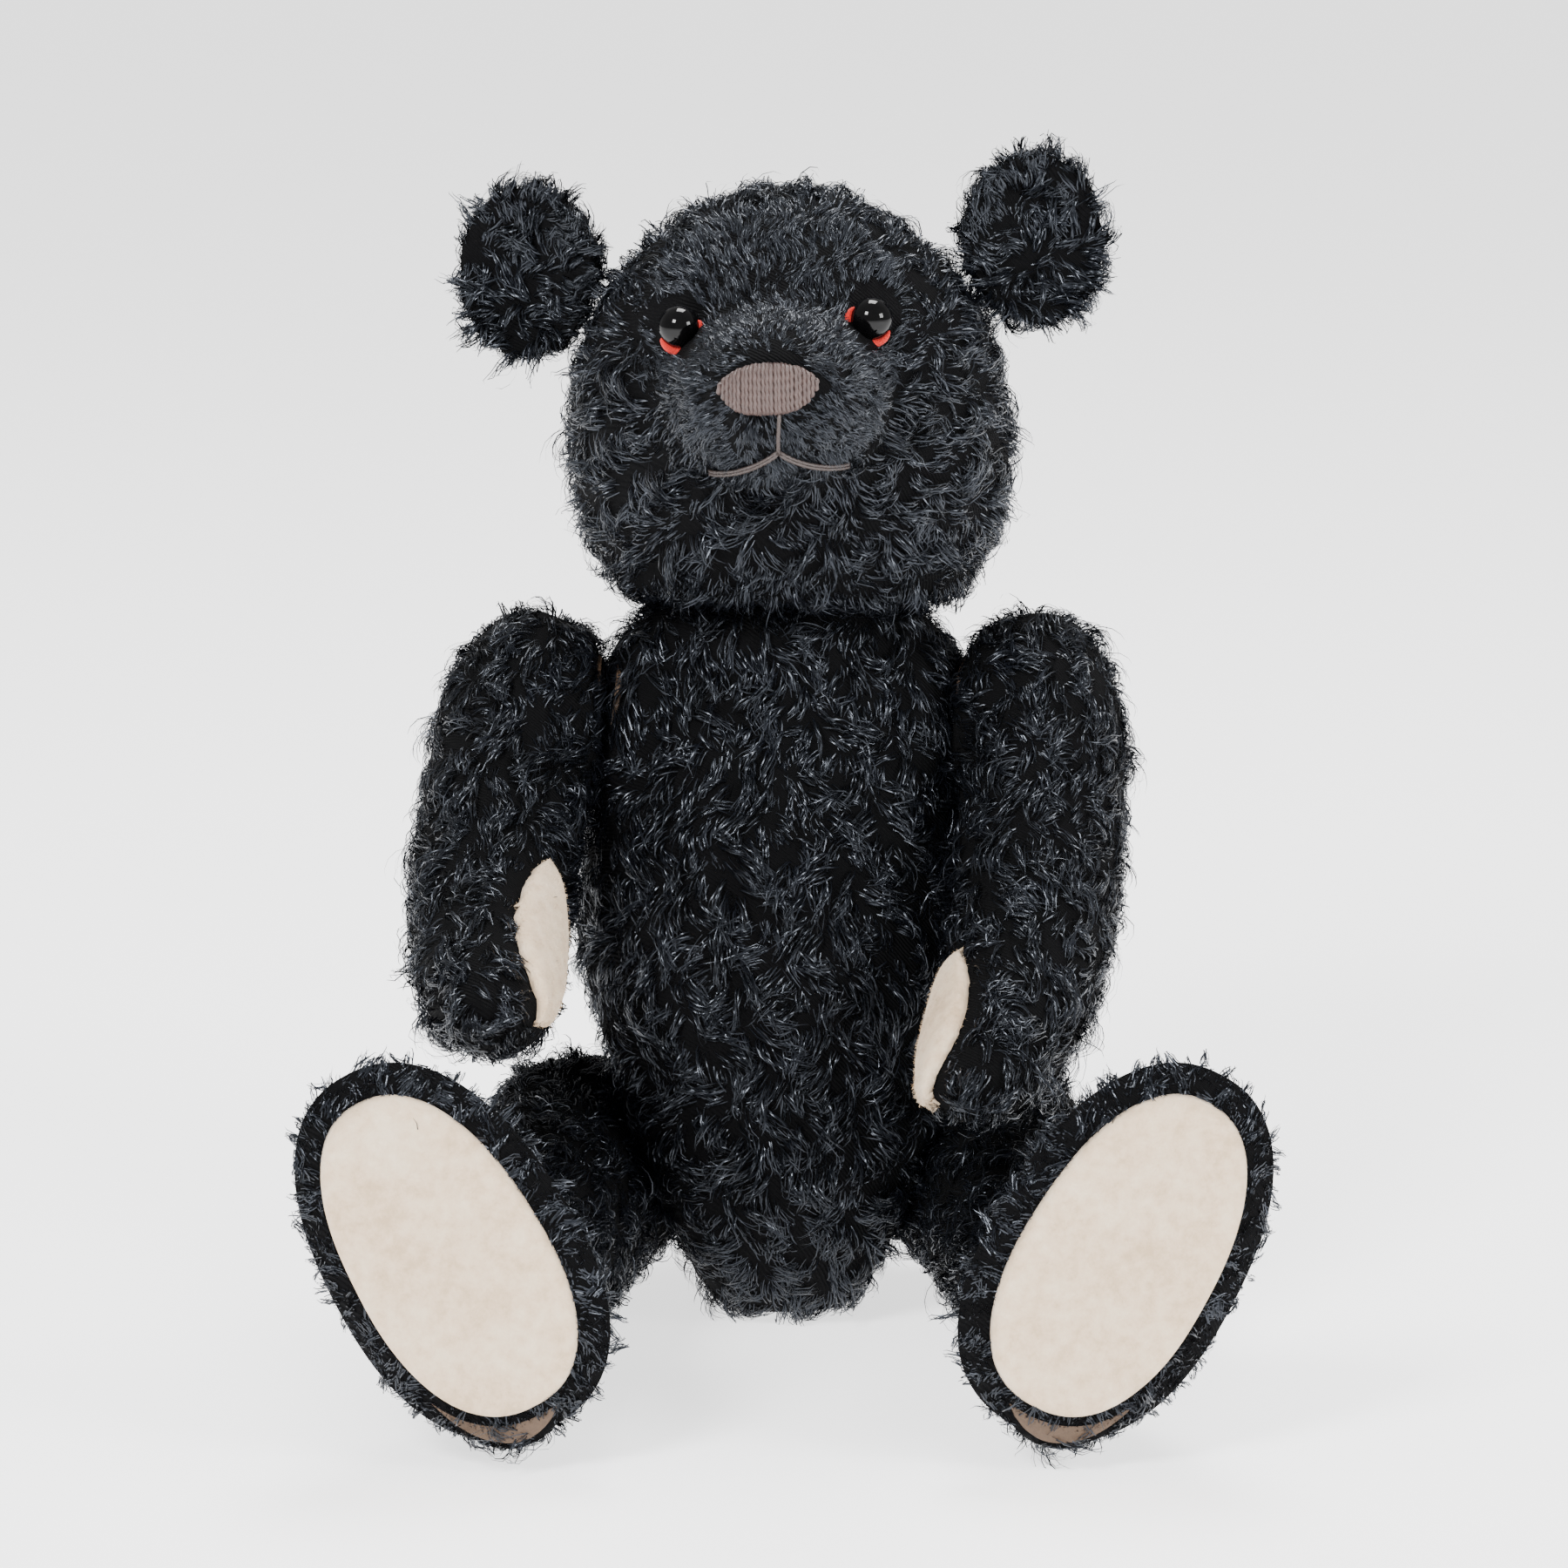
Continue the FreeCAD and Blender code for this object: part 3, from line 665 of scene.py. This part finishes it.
def grow(name, body, skin, flow, length, seed, pitch=LOCK_PITCH, fibres=8, curl=(120, 270), lean=(0, 50),
         wide=0.00014, clump=0.45, swirl=1.6, material=None, where=None):
    """Curled locks on a skin. A fibre leaves the cloth leaning along the flow and bends over in an arc of
    a circle; fibres of a lock share the arc and draw together, twist and waver towards the tip."""
    draw = np.random.default_rng(seed)
    root, normal = spread(skin, int(skin_area(skin) / pitch ** 2), draw)
    full = length(root)
    kept = full > SHORTEST
    if where is not None:
        kept &= where(root)
    root, normal, full = root[kept], normal[kept], full[kept]
    way = flow(root)
    way = unit(way - normal * dot(way, normal))
    across = np.cross(normal, way)
    full = full * (1 + 0.28 * np.clip(wander(root, CLUMP_LONG, seed + 2), -1, 1))
    turn = (swirl * wander(root, CLUMP_TURN, seed + 1) + draw.normal(0, 0.16 * swirl, len(root)))[:, None]
    way, across = way * np.cos(turn) + across * np.sin(turn), across * np.cos(turn) - way * np.sin(turn)
    mood = wander(root, CLUMP_CURL, seed + 3) + draw.normal(0, 0.3, len(root))
    bend = np.radians(np.interp(mood, (-1, 1), curl))
    mood = wander(root, CLUMP_LEAN, seed + 4) + draw.normal(0, 0.3, len(root))
    tilt = np.radians(np.interp(mood, (-1, 1), lean))
    full = full * draw.uniform(0.75, 1.2, len(root))
    twist = draw.uniform(-2.5, 2.5, len(root))

    lock = np.repeat(np.arange(len(root)), fibres)
    count = len(lock)
    s = np.linspace(0, 1, STEPS)[None]
    bend = (bend[lock] * draw.normal(1, 0.15, count))[:, None]
    tilt = (tilt[lock] + draw.normal(0, 0.12, count))[:, None]
    full = (full[lock] * draw.uniform(0.7, 1.1, count))[:, None]
    radius = full / bend
    rise = radius * np.sin(bend * s)
    run = radius * (1 - np.cos(bend * s))
    up = rise * np.cos(tilt) - run * np.sin(tilt)
    up = np.maximum(up, LEAST_RISE * s) - ROOT_DEPTH
    along = rise * np.sin(tilt) + run * np.cos(tilt)
    apart = (0.62 * pitch * np.sqrt(draw.random(count)))[:, None] * (1 - clump * s)
    turned = draw.uniform(0, 2 * pi, count)[:, None] + twist[lock][:, None] * s
    beat = draw.uniform(5, 11, count)[:, None]
    waver = 0.05 * full * np.sin(beat * s + draw.uniform(0, 2 * pi, count)[:, None])
    along = along + apart * np.cos(turned)
    aside = apart * np.sin(turned) + waver * s
    axes = [v[lock][:, None] for v in (root, way, across, normal)]
    line = axes[0] + axes[1] * along[..., None] + axes[2] * aside[..., None] + axes[3] * up[..., None]
    ahead = unit(np.gradient(line, axis=1))
    lie = draw.normal(0, 0.5, count)[:, None, None]
    sideways = unit(axes[2] - ahead * dot(axes[2], ahead))
    sideways = sideways * np.cos(lie) + np.cross(sideways, ahead) * np.sin(lie)
    piece = ribbons(name, material or mohair, line, wide * draw.uniform(0.7, 1.25, count), sideways)
    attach(piece, body)
    return piece


def down(points):
    return np.tile([0.0, 0.0, -1.0], (len(points), 1))


def body_length(points):
    """Full length, wavering a little; none on the patches that the limb and neck discs cover."""
    length = PILE_LONG * (1 + 0.15 * wander(points, 0.035, 5))
    for part in ("arm_left", "arm_right", "leg_left", "leg_right"):
        reach = BALD["arm" if "arm" in part else "leg"]
        away = np.linalg.norm(np.cross(points - pivot[part], outward[part]), axis=1)
        beyond = (points - pivot[part]) @ outward[part]
        length = np.where((away < reach) & (beyond > -0.02), 0, length)
    away = np.linalg.norm(np.cross(points - pivot["head"], outward["head"]), axis=1)
    near_neck = points[:, 2] > pivot["head"][2] - 0.012
    return np.where((away < BALD["neck"]) & near_neck, 0, length)


for side, way in (("left", 1), ("right", -1)):
    grow("torso_pile_" + side, "body", skins["torso"], down, body_length, 11,
         where=lambda points, way=way: way * points[:, 0] > 0)


def piece_tree(piece):
    """A search tree over the faces of a piece."""
    faces = [tuple(face.vertices) for face in piece.data.polygons]
    return BVHTree.FromPolygons(mesh_points(piece.data).tolist(), faces)


def limb_length(limb, pad):
    """Full along the limb, none on the patch that the joint covers nor under the pad."""
    tree = piece_tree(pad)

    def length(points):
        away = np.linalg.norm(np.cross(points - pivot[limb], outward[limb]), axis=1)
        inside = (points - pivot[limb]) @ outward[limb] < 0.012
        long = PILE_LONG * (1 + 0.15 * wander(points, 0.03, 7))
        reach = BALD["arm" if "arm" in limb else "leg"]
        long = np.where((away < reach) & inside, 0, long)
        gap = distance(points, tree)
        return np.where(gap < PAD_CLEAR, 0, np.minimum(long, 0.0060 + 1.2 * np.maximum(gap - PAD_CLEAR, 0)))
    return length


PAD_CLEAR = 0.0024
FUZZ_LONG = 0.0011
RIM_LONG = 0.0080
for seed, (limb, pad) in enumerate(pads.items()):
    way = limb_axes[limb][0]
    grow(limb + "_pile", limb, skins[limb], lambda points, way=way: np.tile(way, (len(points), 1)),
         limb_length(limb, pad), 21 + seed, fibres=8 if "arm" in limb else 6)
    grow(pad.name + "_fuzz", limb, pad, lambda points, way=way: np.tile(way, (len(points), 1)),
         lambda points: np.full(len(points), FUZZ_LONG), 61, pitch=0.0013, fibres=2, curl=(60, 240),
         lean=(40, 85), wide=0.00005, clump=0.0, swirl=3.0, material=felt)
for side, rim in rims.items():
    middle = mesh_points(rim.data).mean(0)
    grow("sole_rim_pile_" + side, "leg_" + side, rim, lambda points, middle=middle: points - middle,
         lambda points: RIM_LONG * (1 + 0.15 * wander(points, 0.02, 3)), 71, pitch=0.0026, curl=(110, 260),
         lean=(10, 60))


# ---------------------------------------------------------------- head and ear pile
# The same mohair; on the muzzle and between the eyes it is clipped short.
low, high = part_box("nose_stitching")
nose = np.array((low + high) / 2)
eyes = {}
for side in ("left", "right"):
    low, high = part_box("eye_glass_" + side)
    half = (high.x - low.x) / 2
    eyes[side] = (np.array(((low.x + high.x) / 2, low.y + half, high.z - half)), half)
bridge = (eyes["left"][0] + eyes["right"][0]) / 2 + np.array((0, 0, 0.004))
face_right = unit(eyes["left"][0] - eyes["right"][0])
face_front = unit(np.cross(face_right, (0, 0, 1)))
face_up = np.cross(face_front, face_right)


def away_from_nose(points):
    return points - (nose + np.array((0, 0.006, 0)))


def from_muzzle(points):
    """Distance from the line that runs from the nose back and up to between the eyes."""
    line = bridge - nose
    share = np.clip((points - nose) @ line / (line @ line), 0, 1)[:, None]
    return np.linalg.norm(points - nose - share * line, axis=1)


def from_eyes(points):
    """Distance from the nearer eye, with depth counted at a third."""
    away = []
    for place, half in eyes.values():
        offset = points - place
        away.append(np.linalg.norm(offset - 0.67 * dot(offset, face_front) * face_front, axis=1))
    return np.minimum(*away)


EYE_CLEAR = 0.0082


def head_length(points):
    """Full on the crown and cheeks, shorter towards the muzzle and the eyes, none where the neck disc
    lies."""
    long = PILE_LONG * (1 + 0.15 * wander(points, 0.03, 9))
    long = np.minimum(long, np.maximum(0, from_muzzle(points) - 0.022) * 0.75)
    gap = from_eyes(points) - EYE_CLEAR
    long = np.where(gap < 0, 0, np.minimum(long, 0.003 + 0.7 * gap))
    away = np.linalg.norm(np.cross(points - pivot["head"], outward["head"]), axis=1)
    return np.where((away < BALD["neck"]) & (points[:, 2] < pivot["head"][2] + 0.02), 0, long)


for side, way in (("left", 1), ("right", -1)):
    grow("head_pile_" + side, "head", skins["head"], away_from_nose, head_length, 31,
         where=lambda points, way=way: way * (points[:, 0] - bridge[0]) > 0)


NOSE_LOWER = np.array((0, 0, 0.0016))
MOUTH_LOWER = np.array((0, 0, 0.0036))
mouth_tree = node_tree("mouth_stitching")
nose_tree = node_tree("nose_stitching")


def muzzle_length(points):
    """Clipped to a few millimetres round the nose, a little longer towards the cheeks, none under the
    nose, the eyes and the mouth's thread."""
    gap = from_muzzle(points)
    long = np.where(gap < 0.034, 0.0034 + 0.05 * gap, 0)
    covered = (from_eyes(points) < 0.0078) | (distance(points + NOSE_LOWER, nose_tree) < 0.0020)
    return np.where(covered | (distance(points + MOUTH_LOWER, mouth_tree) < 0.0026), 0, long)


grow("muzzle_pile", "head", skins["head"], away_from_nose, muzzle_length, 41, pitch=0.0020, fibres=9,
     curl=(30, 110), lean=(20, 55), wide=0.00012, clump=0.3, swirl=0.8, material=short_mohair)

for side in ("left", "right"):
    low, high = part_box("ear_back_" + side)
    hollow = np.array((low + high) / 2)
    hollow[2] = low.z + 0.3 * (high.z - low.z)
    grow("ear_pile_" + side, "head", skins["ear_" + side], lambda points, hollow=hollow: points - hollow,
         lambda points: 0.0125 * (1 + 0.15 * wander(points, 0.02, 3)), 51, pitch=0.0025, fibres=8,
         curl=(150, 320))


# ---------------------------------------------------------------- eyes
# Black glass balls on wire shanks, each underlined by a sickle of red felt that lies against the mohair.
glass, glass_shader, place = new_material("black_glass", Roughness=0.04, IOR=1.52,
                                          Specular_IOR_Level=0.22)
glass_tone = place.noise(500.0).blend((0.0010, 0.0010, 0.0012), (0.0030, 0.0028, 0.0030))
connect(glass_shader, "Base Color", glass_tone)
connect(glass_shader, "Roughness", place.noise(900.0) * 0.03 + 0.02)

red_felt, red_shader, place = new_material("red_felt", Roughness=0.95, Specular_IOR_Level=0.15,
                                           Sheen_Weight=0.2)
connect(red_shader, "Base Color", place.noise(2200.0, 3.0).blend((0.50, 0.012, 0.010), (0.85, 0.045, 0.030)))
raise_bump(red_shader, place.noise(2600.0, 3.0, 0.7), 0.0005)

EYE_RINGS = 31
EYE_SPOKES = 64
SICKLE = {"left": (142, 325), "right": (209, 378)}
SICKLE_HALF = 0.0013
SICKLE_FRONT = 0.0014


def eye_ball(side):
    """A ball: rings of latitude by spokes of longitude, closed at both poles."""
    centre, radius = eyes[side]
    high, turn = np.meshgrid(np.linspace(-pi / 2, pi / 2, EYE_RINGS + 2)[1:-1],
                             np.linspace(0, 2 * pi, EYE_SPOKES + 1)[:-1], indexing="ij")
    ball = np.stack([np.cos(high) * np.cos(turn), np.cos(high) * np.sin(turn), np.sin(high)], -1)
    points = centre + radius * np.vstack([ball.reshape(-1, 3), (0, 0, -1), (0, 0, 1)])
    quads = net(EYE_RINGS, EYE_SPOKES, True)
    spoke = np.arange(EYE_SPOKES)
    pole = EYE_RINGS * EYE_SPOKES
    top = pole - EYE_SPOKES
    south = np.stack([np.roll(spoke, -1), spoke, np.full(EYE_SPOKES, pole)], -1)
    north = np.stack([top + spoke, top + np.roll(spoke, -1), np.full(EYE_SPOKES, pole + 1)], -1)
    corners = np.concatenate([quads.ravel(), south.ravel(), north.ravel()])
    return new_piece("eye_ball_" + side, points, corners,
                     np.array([4] * len(quads) + [3] * 2 * EYE_SPOKES), glass)


def tube(path, radius, sides, section=None, plies=0, lay=0.0):
    """Points and quads of a closed tube along a path; the section may be flattened by half sizes across
    and out, and plies give it the lobes of a twisted thread."""
    ahead = unit(np.gradient(path, axis=0))
    across = unit(np.cross(ahead, face_front))
    out = np.cross(across, ahead)
    angle = np.linspace(0, 2 * pi, sides + 1)[None, :-1]
    far = np.concatenate([[0], np.cumsum(np.linalg.norm(np.diff(path, axis=0), axis=1))])[:, None]
    size = np.broadcast_to(np.asarray(radius, float).reshape(-1, 1), (len(path), 1))
    size = size * (1 + (0.16 * np.cos(plies * angle - 2 * pi * far / lay) if plies else 0 * angle))
    wide, thick = section if section is not None else (1.0, 1.0)
    points = path[:, None] + across[:, None] * (size * np.cos(angle) * wide)[..., None]
    points = points + out[:, None] * (size * np.sin(angle) * thick)[..., None]
    points = np.vstack([points.reshape(-1, 3), path[:1], path[-1:]])
    quads = net(len(path), sides, True)
    spoke = np.arange(sides)
    count = len(path) * sides
    first = np.stack([np.roll(spoke, -1), spoke, np.full(sides, count)], -1)
    end = count - sides
    last = np.stack([end + spoke, end + np.roll(spoke, -1), np.full(sides, count + 1)], -1)
    return points, quads, np.vstack([first, last])


def tubes(name, parts, material):
    """One piece of several closed tubes."""
    start = 0
    points, corners, sizes = [], [], []
    for spots, quads, fans in parts:
        points.append(spots)
        corners += [(quads + start).ravel(), (fans + start).ravel()]
        sizes += [4] * len(quads) + [3] * len(fans)
        start += len(spots)
    piece = new_piece(name, np.vstack(points), np.concatenate(corners), np.array(sizes), material)
    form = bmesh.new()
    form.from_mesh(piece.data)
    bmesh.ops.recalc_face_normals(form, faces=form.faces)
    form.to_mesh(piece.data)
    form.free()
    return piece


for side in ("left", "right"):
    ball = eye_ball(side)
    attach(ball, "head")
    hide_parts("eye_glass_" + side)
    centre, radius = eyes[side]
    start, end = SICKLE[side]
    share = np.linspace(0, 1, 70)
    angle = np.radians(start + (end - start) * share)
    wide = SICKLE_HALF * np.sin(pi * np.clip(share, 0.004, 0.996)) ** 0.45
    reach = (radius - 0.0004 + wide)[:, None]
    around = np.cos(angle)[:, None] * face_right + np.sin(angle)[:, None] * face_up
    path = centre + face_front * SICKLE_FRONT + reach * around
    path = path + 0.0002 * wander(path, 0.004, 8)[:, None] * face_front
    sickle = tubes("eye_sickle_" + side, [tube(path, wide, 14, section=(1.0, 0.6))], red_felt)
    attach(sickle, "head")
    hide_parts("eye_felt_" + side)


# ---------------------------------------------------------------- nose and mouth
# Twisted cotton thread: the nose in upright satin stitches laid side by side, the mouth in single
# stitches from the foot of the nose to the lip and out to both corners.
def thread_material(name, dark, light):
    """Soft glossy cotton whose tone varies from stitch to stitch and fibre to fibre."""
    material, shader, place = new_material(name, Roughness=0.34, Specular_IOR_Level=0.7)
    tone = place.noise(500.0, 2.0) * 0.6 + place.noise(3500.0, 2.0) * 0.4
    connect(shader, "Base Color", tone.blend(dark, light))
    raise_bump(shader, place.noise(6000.0, 2.0), 0.0002)
    return material


nose_cotton = thread_material("nose_cotton", (0.022, 0.012, 0.010), (0.120, 0.070, 0.060))
mouth_cotton = thread_material("mouth_cotton", (0.018, 0.012, 0.010), (0.065, 0.042, 0.036))

NOSE_BALL = 0.020
NOSE_HALF = 0.0125
NOSE_RISE = 0.0070
NOSE_DROP = 0.0066
STITCHES = 25
THREAD = 0.00064
low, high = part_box("nose_stitching")
nose_middle = np.array(((low.x + high.x) / 2, low.y + NOSE_BALL, (low.z + high.z) / 2)) - NOSE_LOWER
draw = np.random.default_rng(71)
stitches = []
for number in range(STITCHES):
    x = NOSE_HALF * 0.97 * (2 * number / (STITCHES - 1) - 1)
    share = abs(x) / NOSE_HALF
    top = NOSE_RISE * (1 - share ** 2) ** 0.5 + draw.normal(0, 0.00012)
    foot = -NOSE_DROP * (1 - share ** 4) + draw.normal(0, 0.00012)
    s = np.linspace(0, 1, 34)
    rise = foot + (top - foot) * s
    aside = x + (0.0004 * (s - 0.5)) + draw.normal(0, 0.00006)
    flat = aside[:, None] * face_right + rise[:, None] * face_up
    ball = unit(flat + face_front * np.sqrt(NOSE_BALL ** 2 - aside ** 2 - rise ** 2)[:, None])
    depth = NOSE_BALL + 0.0004 - 0.0022 * np.abs(2 * s - 1) ** 10 + draw.normal(0, 0.00008)
    stitches.append(tube(nose_middle + ball * depth[:, None], THREAD, 10, plies=2, lay=0.0022))
nose_piece = tubes("nose_satin_stitch", stitches, nose_cotton)
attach(nose_piece, "head")
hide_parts("nose_stitching")

low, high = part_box("mouth_stitching")
lip = np.array(((low.x + high.x) / 2, 0, high.z - 0.0062)) - MOUTH_LOWER
MOUTH = (((0.0003, 0.0110), (0.0, 0.0055), (0, 0)),
         ((0, 0), (-0.0058, -0.0040), (-0.0120, -0.0078), (-0.0178, -0.0092)),
         ((0, 0), (0.0058, -0.0032), (0.0120, -0.0060), (0.0182, -0.0066)))
MOUTH_THREAD = 0.00046
MOUTH_APART = 0.00038
MOUTH_LIFT = 0.0008
face_tree = node_tree("head_side_left", "head_side_right", "head_gusset")
threads = []
for stroke in MOUTH:
    knots = np.array(stroke)
    s = np.linspace(0, 1, 40)
    stops = np.linspace(0, 1, len(knots))
    bow = np.array([np.polyval(np.polyfit(stops, knots[:, axis], 2), s) for axis in (0, 1)]).T
    path = []
    for aside, rise in bow:
        start = Vector((lip[0] + aside, low.y - 0.05, lip[2] + rise))
        hit = face_tree.ray_cast(start, Vector((0, 1, 0)))[0]
        path.append(np.array(hit) + np.array((0, -MOUTH_LIFT, 0)))
    path = np.array(path)
    for axis in range(3):
        path[:, axis] = np.polyval(np.polyfit(s, path[:, axis], 4), s)
    path[:, 1] += 0.0015 * (2 * s - 1) ** 12
    for way in (-1, 1):
        ply = path + way * MOUTH_APART * face_up + 0.0001 * face_right
        threads.append(tube(ply, MOUTH_THREAD, 8, plies=2, lay=0.0018))
mouth_piece = tubes("mouth_stitch", threads, mouth_cotton)
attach(mouth_piece, "head")
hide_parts("mouth_stitching")


# ---------------------------------------------------------------- what the skins hold
# Wood wool, pressed hardboard discs and soles, and bent steel pins and washers, all out of sight.
wool, wool_shader, place = new_material("wood_wool", Roughness=0.8)
curls = place.node("ShaderNodeTexWave", {}, Vector=place, Scale=120.0, Distortion=14.0, Detail=3.0)
connect(wool_shader, "Base Color", curls.blend((0.42, 0.30, 0.16), (0.70, 0.56, 0.36)))
raise_bump(wool_shader, curls, 0.001)

board, board_shader, place = new_material("hardboard", Roughness=0.6)
chips = place.noise(700.0, 4.0, 0.7)
connect(board_shader, "Base Color", chips.blend((0.05, 0.028, 0.016), (0.11, 0.065, 0.036)))
raise_bump(board_shader, chips, 0.0002)

steel, steel_shader, place = new_material("zinc_steel", Metallic=1.0, Roughness=0.35)
rubbed = place.noise(400.0, 3.0)
connect(steel_shader, "Base Color", rubbed.blend((0.42, 0.43, 0.45), (0.62, 0.63, 0.65)))
connect(steel_shader, "Roughness", rubbed * 0.2 + 0.28)


def paint(node, material):
    """Gives a CAD node its finish."""
    slots = frame["nodes"][node].data.materials
    slots.clear()
    slots.append(material)


for node in frame["nodes"]:
    if "stuffing" in node:
        paint(node, wool)
    elif "disc" in node or "board" in node:
        paint(node, board)
    elif "pin" in node or "washer" in node or "shank" in node:
        paint(node, steel)
